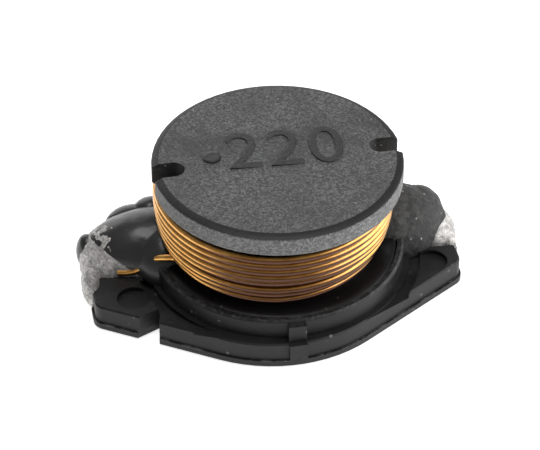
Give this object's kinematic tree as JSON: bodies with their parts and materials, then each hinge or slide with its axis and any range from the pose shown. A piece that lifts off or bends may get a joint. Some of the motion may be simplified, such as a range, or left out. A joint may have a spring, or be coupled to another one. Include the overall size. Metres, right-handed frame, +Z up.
{
  "type": "drum core inductor",
  "caption": "Surface-mount power inductor: slotted ferrite bobbin wound with enamelled copper wire, glued into a moulded base with soldered, epoxy-capped end clips.",
  "frame": {"origin": "middle of the solder plane, under the middle of the base; the bobbin's axis is 0.2 mm towards +X", "axes": "+X along the line of the two end clips, +Z up from the solder plane"},
  "size_m": [0.013, 0.0094, 0.0051],
  "materials": {
    "moulded_plastic": "black filled moulding, faintly satin, with flow marks and dust",
    "ferrite": "sintered dark grey ferrite, fine grain speckle, dry and matte",
    "black_adhesive": "cured black adhesive, wet-looking",
    "copper_wire": "copper wire under clear amber enamel, glossy",
    "tinned_clip": "tin-plated sheet, dull silver",
    "solder": "frosty solder with a grainy skin",
    "gloss_epoxy": "smooth glossy black epoxy",
    "dull_epoxy": "rough dull dark grey epoxy with pits"
  },
  "bodies": {
    "root": {"base": "moulded_plastic", "ferrite_core": "ferrite", "drum_adhesive": "black_adhesive", "winding": "copper_wire", "terminal_left": "tinned_clip", "terminal_right": "tinned_clip", "solder_left": "solder", "solder_right": "solder", "epoxy_cap_left": "gloss_epoxy", "epoxy_cap_right": "dull_epoxy"}
  },
  "joints": []
}
